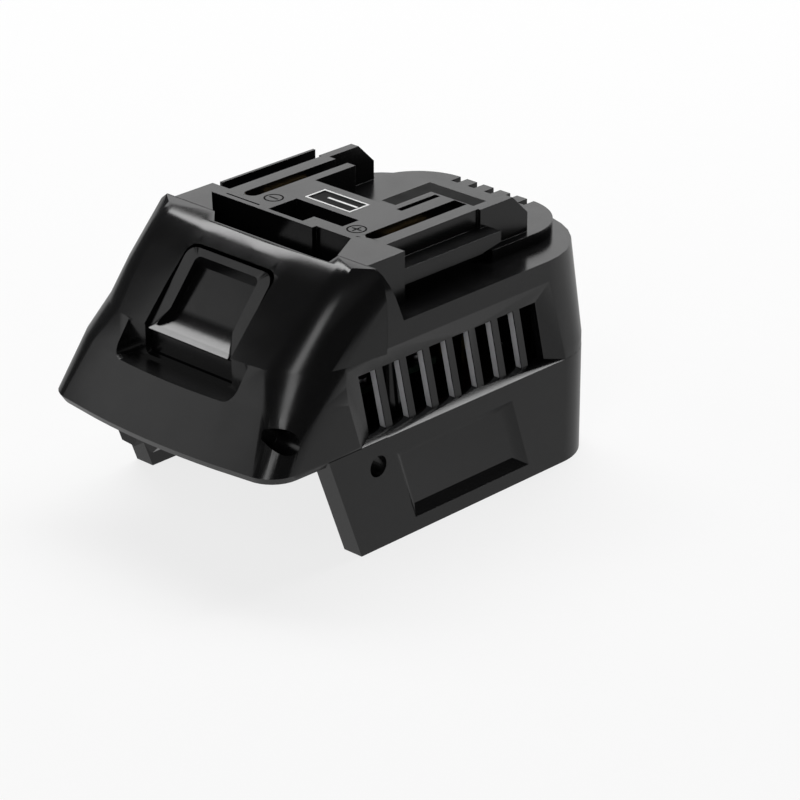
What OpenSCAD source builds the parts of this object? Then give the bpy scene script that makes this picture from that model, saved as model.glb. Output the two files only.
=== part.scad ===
// Slide-on battery adapter: lower socket, vented housing, sloped hood with a sliding release
// button, and a raised terminal block with guide rails. Millimetres, front towards -Y, bottom at Z 0.

/* [Overall] */
// Width across the side walls
body_w = 75; // [70:0.5:80]
// Length from skirt to rear wall
body_len = 114.5; // [106:0.5:124]
// Height of the terminal block and hood top
top_z = 66.5; // [62:0.5:72]

/* [Levels] */
// Height from the parting line of the housings to the block top
upper_h = 39.7; // [39.2:0.1:40.2]
// Socket ceiling below the parting line
ceiling_drop = 4.3; // [4:0.1:4.6]
// Thickness of the socket ceiling
ceiling_t = 2; // [1.6:0.2:2.4]
// Lower edge of the front skirt below the parting line
skirt_drop = 1.2; // [1:0.1:1.4]
// Crease between skirt and hood above the parting line
step_h = 20.4; // [20.2:0.1:20.7]
// Height of the terminal block above the deck
block_h = 12.8; // [12.5:0.1:13.1]
// Thickness of the deck
deck_t = 2.4; // [2:0.1:2.6]
// Height of the rear plateau above the deck
plateau_h = 2.9; // [2.5:0.1:3.2]

/* [Lower housing] */
// Cheek thickness
cheek_t = 5.5; // [5:0.25:6]
// Rear corner radius in plan
rear_r = 15; // [12:0.5:18]
// Foot of the slanted cheek front, behind the skirt front
cheek_foot = 30.25; // [29:0.25:31.25]
// Head of the slanted cheek front, behind the skirt front
cheek_head = 20.05; // [19.65:0.1:20.45]
// Inward width of a pack rail
rail_w = 4.5; // [4:0.25:5]
// Underside of a pack rail
rail_z = 5; // [4.5:0.25:6]
// Height of a pack rail
rail_h = 3.5; // [3:0.25:4]
// Radius of the round side hole
side_hole_r = 2.6; // [2.2:0.1:2.8]
// Side hole behind the skirt front
side_hole_in = 35.75; // [35.25:0.25:36.25]
// Side hole below the parting line
side_hole_drop = 6.1; // [5.8:0.1:6.6]
// Depth of the bevelled side panel
panel_d = 2; // [1.5:0.1:2.4]

/* [Upper housing] */
// Side wall thickness
wall_t = 4; // [3.6:0.1:4.2]
// Deck corner radius in plan
deck_r = 22; // [20:0.5:24]
// Skirt wall thickness
skirt_wall = 3; // [2.6:0.1:3.2]
// Depth of the vent field
vent_d = 2; // [1.6:0.1:2.2]
// Number of vent slots on a side
vent_n = 8; // [6:1:9]
// Width of a vent fin
fin_w = 2.1; // [1.8:0.1:2.4]
// Radius of the blind hole in the right skirt corner
corner_hole_r = 2.7; // [2.5:0.05:2.8]

/* [Hood and latch] */
// Length of the hood from the skirt front to the side seam
hood_len = 38.7; // [38.5:0.05:38.9]
// Hood wall thickness
hood_wall = 2.6; // [2.4:0.1:2.8]
// Half width of the button window
window_half = 14.1; // [13.9:0.1:14.5]
// Gap round the button
button_gap = 0.5; // [0.4:0.05:0.7]
// Travel of the release button
travel = 5; // [4:0.25:5]
// Guide pin radius
pin_r = 1.5; // [1.3:0.05:1.6]
// Running clearance on the guide pins
pin_gap = 0.06; // [0.03:0.01:0.09]
// Spring wire radius
wire_r = 0.4; // [0.35:0.05:0.45]
// Spring coil radius
coil_r = 2.7; // [2.6:0.05:2.9]
// Spring turns
coil_n = 5; // [4:1:6]

/* [Terminal block] */
// Half width of the block core
core_half = 25.35; // [25:0.05:25.5]
// Outer half width of the guide ledges
ledge_half = 30.6; // [30.2:0.1:31]
// Undercut below the guide ledges
ledge_gap = 4.3; // [4.1:0.1:4.7]
// Thickness of the guide ledges
ledge_t = 3.9; // [3.5:0.1:4.1]
// Inner edge of a power slot
slot_in = 17.6; // [17.4:0.1:17.8]
// Width of a power slot
slot_w = 3.9; // [3.7:0.1:4]
// Castellations in the plateau edge
castle_n = 5; // [3:1:6]

/* [Inside] */
// Contact strip thickness
strip_t = 0.8; // [0.6:0.1:1]
// Wire radius
lead_r = 1.3; // [1:0.1:1.4]
// Board thickness
board_t = 1.6; // [1.2:0.2:2]

/* [Hidden] */
$fn = 48;
eps = 0.01;
big = 200;
fine = 32;
fit = 0.3;
half_w = body_w / 2;
y_rear = body_len / 2;
y_front = -y_rear;
in_half = half_w - wall_t;
in_rear = y_rear - wall_t;
socket_half = half_w - cheek_t;
socket_rear = y_rear - cheek_t;
// Levels
split_z = top_z - upper_h;
ceiling_z = split_z - ceiling_drop;
ceiling_top = ceiling_z + ceiling_t;
skirt_z = split_z - skirt_drop;
step_z = split_z + step_h;
deck_z = top_z - block_h;
deck_low = deck_z - deck_t;
plateau_z = deck_z + plateau_h;
ledge_z = deck_z + ledge_gap;
ledge_top = ledge_z + ledge_t;
// Front places
seam_y = y_front + hood_len;
cheek_foot_y = y_front + cheek_foot;
cheek_head_y = y_front + cheek_head;
side_hole_y = y_front + side_hole_in;
side_hole_z = split_z - side_hole_drop;
// Front form, one row per level: height, centre front, half width, corner radius, bow, half at seam
hood_run = 26.35;
crease_y = seam_y - hood_run;
crease_row = [step_z, crease_y, half_w - 1, 16, 1.2, half_w];
skirt_rows = [
    [skirt_z, y_front + 1.1, half_w - 0.9, 7.4, 2.3, half_w - 0.4],
    [skirt_z + 1.8, y_front, half_w, 8, 2.3, half_w],
    [step_z - 7.2, crease_y - 5.35, half_w - 0.3, 12, 2, half_w],
    crease_row];
hood_rows = [
    crease_row,
    [top_z - 11.5, crease_y + 7.05, half_w - 1.6, 13.5, 1.3, half_w],
    [top_z - 6.5, crease_y + 12.05, half_w - 2.4, 12, 1.4, half_w - 0.2],
    [top_z - 3.8, crease_y + 14.95, half_w - 3, 11, 1.4, half_w - 0.9],
    [top_z - 1.5, crease_y + 18.05, half_w - 3.4, 10, 1.4, half_w - 2.1],
    [top_z, crease_y + 20.45, half_w - 3.9, 9, 1.4, half_w - 3.9]];
bow_n = 6;
// Hood face frame: origin at the crease, tilted with the face
face_y = crease_y + 0.95;
face_z = step_z - 0.8;
face_tilt = 46;
window_drop = 4.54;
face_len = (top_z - window_drop - face_z) / cos(face_tilt);
button_half = window_half - button_gap;
window_r = 3;
window_low = -8;
window_deep = 12;
window_run = 30;
// Button rim line in side view, and its scoop measured along and below that line
rim_y = face_y + 0.45;
rim_z = face_z;
rim_tilt = 50.3;
rim_drop = 3.79;
rim_len = (top_z - rim_drop - rim_z) / sin(rim_tilt);
rim_end = rim_len - 1.8;
button_t = 4.5;
dish_half = window_half - 4;
dish_r = 1.6;
dish_top = rim_len - 3.5;
dish_d = 2.5;
dish_low = 8.6;
dish_low_d = 2.15;
dish_bend = 3.4;
dish_bend_n = 8;
flare_s = 6;
flare_half = button_half - 0.8;
lip_s = -0.2;
lip_d = 0.67;
lip_back = 1.2;
lip_under = 0.7;
// Recess under the button
recess_half = window_half + 5.4;
recess_z = step_z - 7.8;
recess_r = 3;
recess_back = crease_y + 0.9;
liner_t = 1.6;
liner_front = crease_y - 9.1;
liner_skin = 0.4;
opening_z = step_z - 7.2;
opening_r = 1.5;
opening_deep = 4;
// Skirt shell
skirt_lift = 1.2;
skirt_slope = 0.75;
skirt_open = 12;
// Cover under the skirt
cover_gap = 0.25;
cover_z0 = split_z - 0.8;
cover_z1 = cover_z0 + 2;
cover_clear = 0.5;
cover_y1 = cheek_head_y - 0.4;
cover_front = 1;
cover_side = 0.6;
// Blind corner hole, and the screws that hold the cover from below
corner_y = y_front + 9.4;
corner_z = split_z + 7.7;
corner_boss_r = corner_hole_r + 1.7;
corner_seat_x = half_w - 8;
corner_boss_x = corner_seat_x - 2;
skirt_screw_x = half_w - 8.2;
skirt_screw_y = y_front + 15.4;
skirt_boss_r = half_w - wall_t - skirt_screw_x + 0.3;
skirt_boss_top = corner_z + 1.5;
skirt_screw_len = 7;
cover_sink = 1.2;
// Catch ribs in front view: blunt one and pointed one
ribs = [[[-12, skirt_z], [-10.6, skirt_z - 2.4], [-6.4, skirt_z - 2.7], [-5.6, skirt_z]],
    [[-4, skirt_z], [-1.4, skirt_z - 2.3], [-0.4, skirt_z - 2.3], [2, skirt_z]]];
rib_y0 = y_front + 2.05;
rib_y1 = y_front + 8.25;
rib_step_y = y_front + 4.85;
// Latch carrier
slide_half = 15;
slide_y0 = seam_y - 10.95;
slide_y1 = seam_y - 2.95;
slide_z1 = step_z - 0.6;
slide_z0 = slide_z1 - 6.6;
pin_x = 11;
pin_y = (slide_y0 + slide_y1) / 2;
pin_foot = split_z - 0.3;
pin_top = deck_low - 1.3;
post_r = 3.5;
post_top = split_z + 3.2;
apron_half = window_half + 0.9;
apron_y0 = recess_back + liner_t + 0.5;
apron_t = 2;
apron_z0 = cover_z1 + cover_clear + travel;
apron_z1 = step_z - 1.7;
stem_half = 8;
stem_y0 = apron_y0 + 0.4;
stem_z0 = step_z - 5.2;
hook_half = 9;
hook_y0 = seam_y - 1.45;
hook_y1 = seam_y + 4.55;
foot_y0 = slide_y0 + 0.5;
foot_z1 = deck_low - fit;
hook_slot_gap = 0.4;
hook_top = top_z - 3.2;
hook_low = top_z - 7;
// Pocket floor behind the hood
floor_half = half_w - 6.6;
floor_y0 = seam_y - 9.95;
floor_mid_y = seam_y - 5.05;
// Catch pocket cut into the hood from behind
pocket = [[-18.4, seam_y + 1], [22, seam_y + 1], [23.4, seam_y - 4.05], [18, seam_y - 4.35], [-13, seam_y - 4.35]];
pocket_wall = 1.6;
pocket_z = deck_z + 2;
hood_gap = 0.05;
// Wings beside the block
wing_in = half_w - 6.2;
wing_rear = seam_y + 5.25;
wing_top_y = seam_y + 0.3;
// Upper shell bands
foot_band = 2.7;
band_z = deck_z - 3.2;
rear_draft = 0.15;
// Vent field outline in side view: lower edge then upper edge, outer and inner
vent_top = split_z + 21.7;
vent_in_low = split_z + 1.2;
vent_in_top = split_z + 16.7;
vent_out = [[seam_y - 8.45, split_z], [y_rear - 15.1, split_z], [y_rear - 21.4, vent_top],
    [seam_y - 15.45, vent_top]];
vent_in = [[seam_y - 3.8, vent_in_low], [y_rear - 20.7, vent_in_low], [y_rear - 23.9, vent_in_top],
    [seam_y - 7.3, vent_in_top]];
vent_len = vent_in[1][0] - vent_in[0][0];
slot_len = (vent_len - (vent_n - 1) * fin_w) / vent_n;
vent_lean = vent_in[3][0] - vent_in[0][0];
// Side panel outline
panel_low = 3.65;
panel_in_low = 6;
panel_top = split_z - 4.65;
panel_in_top = split_z - 7.2;
panel_out = [[seam_y + 9.3, panel_low], [y_rear - 27.65, panel_low], [y_rear - 33.95, panel_top],
    [seam_y + 2.75, panel_top]];
panel_in = [[seam_y + 10.95, panel_in_low], [y_rear - 31.35, panel_in_low], [y_rear - 35.85, panel_in_top],
    [seam_y + 6.45, panel_in_top]];
// Pack rails
rail_front = cheek_foot_y + 5;
rail_lead = 4;
rail_rear = y_rear - 11.25;
// Case screws
case_x = half_w - 9.5;
case_ys = [seam_y + 10.55, y_rear - 12.25];
boss_r = 3.4;
screw_r = 1.45;
screw_slack = 0.05;
screw_head_r = 2.7;
screw_head_h = 1.6;
case_hole_h = 16;
case_screw_len = 18;
// Terminal block
block_base = deck_z;
block_front = seam_y + 8.2;
block_step = seam_y + 9.55;
block_step_x = 6;
block_rear = seam_y + 47.95;
block_left_rear = seam_y + 43.75;
block_left_x = -core_half - 1.85;
block_right_x = 17;
core_y0 = seam_y + 11.55;
notch_side_y = seam_y + 38.55;
notch_x0 = -14.9;
notch_x1 = 5.4;
notch_y = seam_y + 30.15;
slot_y0 = seam_y + 12.35;
slot_floor = deck_z + 3.5;
slot_right_end = seam_y + 43.15;
slot_roof = 2;
shoulder_x = half_w - 6.4;
shoulder_y0 = seam_y + 0.15;
shoulder_y1 = slot_y0;
shoulder_in_right = 20;
shoulder_in_left = 24;
shoulder_cut_right = [[16, block_step + 1], [block_right_x, block_step], [22, shoulder_y0]];
shoulder_cut_left = [[-18.2, shoulder_y0], [0.2 + block_left_x, block_front], [-shoulder_in_left, core_y0]];
base_y0 = seam_y + 18.55;
ledge_y1 = seam_y + 45;
taper_y = ledge_y1 - 6.85;
taper_z = ledge_z + 1.2;
outer_wall_x = -ledge_half + 1;
outer_wall_t = 0.8;
groove_y0 = seam_y + 14.05;
prong_in = core_half - 1.69;
prong_out = core_half + 0.81;
prong_y = seam_y + 53.8;
prong_y1 = seam_y + 59.1;
prong_z = top_z - 5.1;
plateau_x = 2;
plateau_half = core_half + 1.15;
plateau_rear = y_rear - 0.95;
plateau_y0 = block_rear - 3.4;
plateau_r = 15;
castle_w = 2.1;
castle_d = 3.5;
castle_pitch = 5.4;
castle_x = 2.4;
rib_slot = [[-23.7, seam_y + 9.65], [-12.9, seam_y + 10.15]];
rib_slot_d = 1.5;
line_slot = [[11.9, seam_y + 29.75], [13.5, seam_y + 42.75]];
line_slot_d = 4;
key_x0 = -9.6;
key_x1 = 10.5;
key_y0 = seam_y + 13.35;
key_y1 = seam_y + 18.75;
key_leg_x = 1.5;
key_leg_y = seam_y + 9.6;
key_floor = top_z - 5;
insert_x0 = -8.5;
insert_x1 = 5.1;
insert_y0 = seam_y + 21.3;
insert_y1 = seam_y + 27;
insert_d = 1.2;
insert_sink = 0.2;
label_d = 0.5;
label_x0 = 5.5;
label_x1 = 23.3;
label_xm = 9.9;
label_y0 = seam_y + 31.45;
label_ym = seam_y + 43.45;
label_y1 = seam_y + 47.75;
block_screw_at = [[shoulder_x - 6.1, seam_y + 3.15], [2.7 - shoulder_x, seam_y + 3.15], [10, seam_y + 41.05]];
block_screw_r = 1.2;
block_screw_len = 7;
// Contacts
clip_y0 = seam_y + 22.55;
clip_y1 = seam_y + 37.55;
clip_top = top_z - 3.1;
clip_gap = 0.15;
tail_y0 = clip_y0 + 10;
tail_y1 = clip_y0 + 14;
tail_low = deck_low - 5.3;
tail_gap = 0.3;
tail_slot = strip_t / 2 + 1;
slot_mid = slot_in + slot_w / 2;
pin_pitch = 4;
pin_w = 0.8;
pin_z = top_z - 5.5;
pin_len = 8;
// Lower contacts
carrier_half = 19;
carrier_y0 = y_rear - 29.25;
carrier_y1 = y_rear - 11.25;
carrier_z0 = ceiling_z - 13.5;
blade_xs = [-12, 12];
blade_y0 = carrier_y0 - 7;
blade_z0 = ceiling_z - 10.5;
blade_z1 = ceiling_z - 4;
blade_tail_y0 = carrier_y0 + 6;
blade_tail_y1 = carrier_y0 + 10;
blade_tail_top = ceiling_top + 3.5;
blade_gap = 0.05;
signal_xs = [-5, 0, 5];
signal_z1 = ceiling_z - 7;
carrier_screw_x = carrier_half - 3;
carrier_screw_y = carrier_y1 - 4;
wire_z = split_z + 11.2;
bend_r = 3;
// Circuit board
board_half = half_w - 15.5;
board_y0 = seam_y + 6.55;
board_y1 = seam_y + 32.55;
board_z = split_z + 3.2;
board_screw_x = board_half - 3.5;
board_screw_ys = [board_y0 + 3.5, board_y1 - 3.5];
board_post_r = 3;
board_screw_r = 1.1;
board_head_r = 2.1;
board_head_h = 1.4;
board_grip = 4;
chip_xs = [-9, 5];
chip_y = board_y0 + 12;
chip_w = 10;
chip_l = 8;
chip_h = 3.2;
can_y = board_y0 + 6;
can_r = 4;
can_h = 12;

// Plan outline with both rear corners rounded
module rear_round(half, y0, y1, r) {
    translate([-half, y0]) square([2 * half, y1 - y0 - r]);
    translate([r - half, y0]) square([2 * (half - r), y1 - y0]);
    for (s = [-1, 1])
        translate([s * (half - r), y1 - r]) circle(r);
}

// One level of the front form, drawn in from its row by the given wall
module front_level(row, wall, side, rear) {
    r = row[3] - wall;
    h = row[2] - side;
    y = row[1] + wall;
    run = h - r;
    bow = [for (i = [-bow_n : bow_n]) [run * i / bow_n, y + row[4] * pow(i / bow_n, 2)]];
    translate([0, 0, row[0]]) linear_extrude(eps) {
        for (s = [-1, 1])
            translate([s * run, y + row[4] + r]) circle(r, $fn = fine);
        polygon(concat(bow, [[row[5] - side, rear], [side - row[5], rear]]));
    }
}

// Prism from an outline in side view, standing across X
module across(x0, x1, outline) {
    translate([x0, 0, 0]) rotate([90, 0, 90]) linear_extrude(x1 - x0) polygon(outline);
}

// Box from two corners
module block(lo, hi) {
    translate(lo) cube(hi - lo);
}

// Bevelled recess in a side wall, wide outline outside
module side_recess(side, outer, inner, depth) {
    hull() {
        across(side * half_w - eps, side * half_w + eps, outer);
        across(side * (half_w - depth) - eps, side * (half_w - depth) + eps, inner);
    }
}

module skirt_form(wall, side, rear) {
    hull()
        for (row = skirt_rows)
            front_level(row, wall, side, rear);
}

module hood_form(wall, drop) {
    hull()
        for (row = hood_rows)
            translate([0, 0, row[0] == step_z ? 0 : -drop]) front_level(row, wall, wall, seam_y);
}

// Moulded lower body with two cheeks, a ceiling and rails for the pack
module lower_housing() {
    cheek = [[cheek_foot_y, 0], [y_rear, 0], [y_rear, split_z], [cheek_head_y, split_z]];
    rail_full = rail_front + rail_lead;
    rail = [[rail_front, rail_z + rail_h / 2], [rail_full, rail_z], [rail_rear, rail_z],
        [rail_rear, rail_z + rail_h], [rail_full, rail_z + rail_h]];
    color([0.03, 0.03, 0.03]) difference() {
        union() {
            difference() {
                intersection() {
                    linear_extrude(split_z) rear_round(half_w, y_front, y_rear, rear_r);
                    across(-half_w, half_w, cheek);
                }
                translate([0, 0, -1]) linear_extrude(ceiling_z + 1)
                    rear_round(socket_half, y_front, socket_rear, rear_r - cheek_t);
                translate([0, 0, ceiling_top]) linear_extrude(split_z)
                    rear_round(in_half, cheek_head_y + 2, in_rear, rear_r - wall_t);
            }
            for (s = [0, 1])
                mirror([s, 0, 0]) across(socket_half - rail_w, socket_half + 1, rail);
            for (s = [-1, 1]) {
                translate([s * pin_x, pin_y, ceiling_top - 1])
                    cylinder(r = post_r, h = post_top - ceiling_top + 1);
                for (y = case_ys)
                    translate([s * case_x, y, ceiling_top - 1])
                        cylinder(r = boss_r, h = split_z - ceiling_top + 1);
                for (y = board_screw_ys)
                    translate([s * board_screw_x, y, ceiling_top - 1])
                        cylinder(r = board_post_r, h = board_z - ceiling_top + 1);
            }
        }
        side_recess(1, panel_out, panel_in, panel_d);
        side_recess(-1, panel_out, panel_in, panel_d);
        for (s = [0, 1])
            mirror([s, 0, 0]) translate([socket_half - eps, side_hole_y, side_hole_z])
                rotate([0, 90, 0]) cylinder(r = side_hole_r, h = cheek_t + 2);
        for (s = [-1, 1]) {
            translate([s * pin_x, pin_y, pin_foot]) cylinder(r = pin_r, h = big);
            for (y = case_ys)
                translate([s * case_x, y, 0]) cylinder(r = screw_r + fit / 2, h = big);
            for (y = board_screw_ys)
                translate([s * board_screw_x, y, ceiling_top]) cylinder(r = board_screw_r, h = big);
            translate([s * carrier_screw_x, carrier_screw_y, ceiling_z - 1])
                cylinder(r = screw_r, h = ceiling_t + 2);
        }
        for (x = concat(blade_xs, signal_xs))
            block([x - strip_t / 2 - tail_gap, blade_tail_y0 - tail_gap, ceiling_z - 1],
                [x + strip_t / 2 + tail_gap, blade_tail_y1 + tail_gap, ceiling_top + 1]);
    }
}

// Louvred vent field in both side walls
module vent_cut() {
    side_recess(1, vent_out, vent_in, vent_d);
    side_recess(-1, vent_out, vent_in, vent_d);
    for (s = [0, 1], i = [0 : vent_n - 1]) {
        y = vent_in[0][0] + i * (slot_len + fin_w);
        mirror([s, 0, 0]) across(in_half - 2, half_w + 1, [[y, vent_in[0][1]], [y + slot_len, vent_in[0][1]],
            [y + slot_len + vent_lean, vent_in[2][1]], [y + vent_lean, vent_in[2][1]]]);
    }
}

// Hollow rear shell with deck, vents and the floor of the catch pocket
module upper_housing() {
    color([0.035, 0.035, 0.035]) difference() {
        union() {
            difference() {
                hull() {
                    translate([0, 0, split_z]) linear_extrude(foot_band)
                        rear_round(half_w, seam_y, y_rear, rear_r, $fn = fine);
                    translate([0, 0, band_z]) linear_extrude(deck_z - band_z)
                        rear_round(half_w, seam_y, y_rear - rear_draft, deck_r, $fn = fine);
                }
                hull() {
                    translate([0, 0, split_z - 1]) linear_extrude(2)
                        rear_round(in_half, seam_y - 1, in_rear, rear_r - wall_t, $fn = fine);
                    translate([0, 0, deck_low - eps]) linear_extrude(eps)
                        rear_round(in_half, seam_y - 1, in_rear - rear_draft, deck_r - wall_t, $fn = fine);
                }
            }
            difference() {
                block([-floor_half, floor_y0, deck_low], [floor_half, seam_y + 1, deck_z]);
                block([-window_half - fit, floor_y0 - 1, deck_low - 1],
                    [window_half + fit, floor_mid_y, deck_z + 1]);
            }
            for (s = [-1, 1], y = case_ys)
                translate([s * case_x, y, split_z]) cylinder(r = boss_r, h = deck_z - 1 - split_z);
        }
        vent_cut();
        block([-hook_half - hook_slot_gap, hook_y0 - hook_slot_gap, deck_low - 1],
            [hook_half + hook_slot_gap, hook_y1 + hook_slot_gap, deck_z + 1]);
        for (s = [-1, 1]) {
            block([s * slot_mid - tail_slot, tail_y0 - tail_gap, deck_low - 1],
                [s * slot_mid + tail_slot, tail_y1 + tail_gap, deck_z + 1]);
            for (y = case_ys)
                translate([s * case_x, y, split_z - 1]) cylinder(r = screw_r - 2 * screw_slack, h = case_hole_h);
        }
        for (p = block_screw_at)
            translate([p[0], p[1], deck_low - 1]) cylinder(r = block_screw_r + fit / 2, h = block_screw_len + 2);
    }
}

// Front view outline with both lower corners rounded, open towards the top
module foot_round(half, low, r) {
    translate([-half, low + r]) square([2 * half, step_z + 1 - low - r]);
    translate([r - half, low]) square([2 * (half - r), r]);
    for (s = [-1, 1])
        translate([s * (half - r), low + r]) circle(r);
}

// Flared front shell with the finger recess under the button, a blind corner hole and two screw bosses
module front_skirt() {
    color([0.035, 0.035, 0.035]) difference() {
        union() {
            difference() {
                skirt_form(0, 0, seam_y);
                skirt_form(skirt_wall, wall_t, seam_y + 1);
                translate([0, 0, skirt_lift])
                    skirt_form(skirt_wall + skirt_lift * skirt_slope, wall_t, seam_y + 1);
                block([-in_half, cover_y1 - skirt_open, skirt_z - 1], [in_half, seam_y + 1, split_z + 1]);
                block([-big, cheek_head_y - fit, 0], [big, big, split_z]);
                block([-big, seam_y, 0], [big, big, big]);
            }
            intersection() {
                skirt_form(liner_skin, liner_skin, seam_y);
                union() {
                    block([-recess_half - liner_t, liner_front, recess_z - liner_t],
                        [recess_half + liner_t, recess_back + liner_t, step_z]);
                    translate([corner_boss_x, corner_y, corner_z]) rotate([0, 90, 0])
                        cylinder(r = corner_boss_r, h = big);
                    for (s = [-1, 1])
                        translate([s * skirt_screw_x, skirt_screw_y, cover_z1])
                            cylinder(r = skirt_boss_r, h = skirt_boss_top - cover_z1);
                }
            }
        }
        translate([0, recess_back, 0]) rotate([90, 0, 0]) linear_extrude(big)
            foot_round(recess_half, recess_z, recess_r);
        translate([0, recess_back + opening_deep, 0]) rotate([90, 0, 0]) linear_extrude(opening_deep + 1)
            foot_round(window_half, opening_z, opening_r);
        vent_cut();
        translate([corner_seat_x, corner_y, corner_z]) rotate([0, 90, 0]) cylinder(r = corner_hole_r, h = half_w);
        for (s = [-1, 1])
            translate([s * skirt_screw_x, skirt_screw_y, cover_z1 - 1])
                cylinder(r = screw_r - 2 * screw_slack, h = skirt_screw_len);
    }
}

// Wings on the deck that carry the line of the hood back along the block
module side_wings() {
    side = [[seam_y, deck_z], [wing_rear, deck_z], [wing_top_y, top_z], [seam_y, top_z]];
    end = concat([[wing_in, deck_z], [half_w, deck_z]], [for (i = [1 : 5]) [hood_rows[i][5], hood_rows[i][0]]],
        [[wing_in, top_z]]);
    color([0.035, 0.035, 0.035])
        for (s = [0, 1])
            mirror([s, 0, 0]) intersection() {
                across(wing_in, half_w, side);
                translate([0, seam_y, 0]) rotate([90, 0, 0]) mirror([0, 0, 1]) linear_extrude(half_w) polygon(end);
            }
}

// Sloped front cover with the button window and the walled pocket for the tool catch
module front_hood() {
    color([0.035, 0.035, 0.035]) {
        difference() {
            intersection() {
                hood_form(0, 0);
                block([-half_w, y_front, step_z + 2 * eps], [half_w, seam_y - hood_gap, top_z]);
            }
            hood_form(hood_wall, hood_wall);
            translate([0, 0, pocket_z]) linear_extrude(big) polygon(pocket);
            block([-floor_half - fit, floor_y0 - fit, deck_low - fit],
                [floor_half + fit, seam_y + 1, deck_z + fit]);
            translate([0, face_y, face_z]) rotate([90 - face_tilt, 0, 0]) translate([0, 0, -window_deep])
                linear_extrude(window_run) window_shape(window_half, window_low, face_len, window_r);
        }
        translate([0, 0, deck_z + fit]) linear_extrude(top_z - pocket_wall - deck_z - fit) difference() {
            offset(delta = pocket_wall) polygon(pocket);
            polygon(pocket);
            translate([-half_w, seam_y - hood_gap]) square(body_w);
        }
    }
}

// Rounded opening in the plane of the hood face
module window_shape(half, low, high, r) {
    translate([-half, low]) square([2 * half, high - low - r]);
    translate([r - half, low]) square([2 * (half - r), high - low]);
    for (s = [-1, 1])
        translate([s * (half - r), high - r]) circle(r);
}

// Guide ledge outline in side view
function ledge_side() = [[shoulder_y1, ledge_z], [taper_y, ledge_z], [ledge_y1, taper_z], [ledge_y1, ledge_top],
    [shoulder_y1, ledge_top]];

// Raised block with power slots, connector notch, prongs and castellated plateau
module terminal_block() {
    prong = [[block_left_rear - 1, block_base], [prong_y1, block_base], [prong_y1, prong_z], [prong_y, top_z],
        [block_left_rear - 1, top_z]];
    color([0.03, 0.03, 0.03]) difference() {
        union() {
            block([block_left_x, block_front, block_base], [block_step_x, shoulder_y1, top_z]);
            block([block_step_x - 1, block_step, block_base], [block_right_x, shoulder_y1, top_z]);
            block([-core_half, core_y0, block_base], [core_half, block_left_rear, top_z]);
            block([notch_x1, notch_side_y, block_base], [core_half, block_rear, top_z]);
            translate([0, 0, block_base]) linear_extrude(top_z - block_base) {
                polygon(concat(shoulder_cut_right, [[shoulder_x, shoulder_y0], [shoulder_x, shoulder_y1],
                    [shoulder_in_right, shoulder_y1]]));
                polygon(concat([[-shoulder_x, shoulder_y0]], shoulder_cut_left,
                    [[-shoulder_in_left, shoulder_y1], [-shoulder_x, shoulder_y1]]));
            }
            for (s = [0, 1])
                mirror([s, 0, 0]) across(prong_in, prong_out, prong);
            block([-core_half, base_y0, block_base], [core_half, block_rear, plateau_z]);
            translate([plateau_x, 0, block_base]) linear_extrude(plateau_z - block_base) difference() {
                rear_round(plateau_half, plateau_y0, plateau_rear, plateau_r);
                for (i = [0 : castle_n - 1])
                    translate([castle_x - plateau_x + (i - (castle_n - 1) / 2) * castle_pitch - castle_w / 2,
                        plateau_rear - castle_d]) square([castle_w, castle_d + 1]);
            }
        }
        for (s = [0, 1])
            mirror([s, 0, 0]) across(core_half, ledge_half + 1, ledge_side());
        block([notch_x0, notch_y, plateau_z], [notch_x1, big, top_z + 1]);
        for (s = [-1, 1])
            translate([0, 0, slot_floor]) linear_extrude(big) {
                translate([s * slot_mid, slot_y0 + slot_w / 2]) circle(slot_w / 2);
                translate([s * slot_mid - slot_w / 2, slot_y0 + slot_w / 2])
                    square([slot_w, s > 0 ? slot_right_end - slot_y0 - slot_w / 2 : big]);
            }
        block([slot_mid - slot_w / 2, slot_right_end - 1, slot_floor],
            [slot_mid + slot_w / 2, block_rear + 1, top_z - slot_roof]);
        translate([0, 0, key_floor]) linear_extrude(big) {
            translate([key_x0, key_y0]) square([key_x1 - key_x0, key_y1 - key_y0]);
            translate([key_x0, key_leg_y]) square([key_leg_x - key_x0, key_y1 - key_leg_y]);
        }
        translate([0, 0, top_z - rib_slot_d]) linear_extrude(big)
            translate(rib_slot[0]) square(rib_slot[1] - rib_slot[0]);
        translate([0, 0, top_z - line_slot_d]) linear_extrude(big)
            translate(line_slot[0]) square(line_slot[1] - line_slot[0]);
        block([insert_x0, insert_y0, top_z - insert_d], [insert_x1, insert_y1, top_z + 1]);
        label_form(top_z - label_d, 1 + label_d);
        for (p = block_screw_at)
            translate([p[0], p[1], deck_low - 1]) cylinder(r = block_screw_r, h = block_screw_len + 2);
        for (s = [-1, 1])
            block([s * slot_mid - tail_slot, tail_y0 - tail_gap, block_base - 1],
                [s * slot_mid + tail_slot, tail_y1 + tail_gap, slot_floor + 1]);
    }
}

// Guide ledges on both flanks of the block, with a thin wall on the left one
module guide_rails() {
    color([0.03, 0.03, 0.03]) {
        for (s = [0, 1])
            mirror([s, 0, 0]) across(core_half, ledge_half, ledge_side());
        block([outer_wall_x - outer_wall_t, groove_y0, ledge_top - 1], [outer_wall_x, ledge_y1, top_z]);
    }
}

// L-shaped plate outline on the block top, kept clear of the power slot
module label_form(z, h) {
    translate([0, 0, z]) linear_extrude(h) {
        translate([label_x0, label_ym]) square([label_x1 - label_x0, label_y1 - label_ym]);
        translate([label_x0, label_y0]) square([label_xm - label_x0, label_y1 - label_y0]);
    }
}

module label_plate() {
    color([0.01, 0.01, 0.01]) label_form(top_z - label_d, label_d);
}

module window_plate() {
    color([0.01, 0.01, 0.01])
        block([insert_x0, insert_y0, top_z - insert_d], [insert_x1, insert_y1, top_z - insert_sink]);
}

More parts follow.
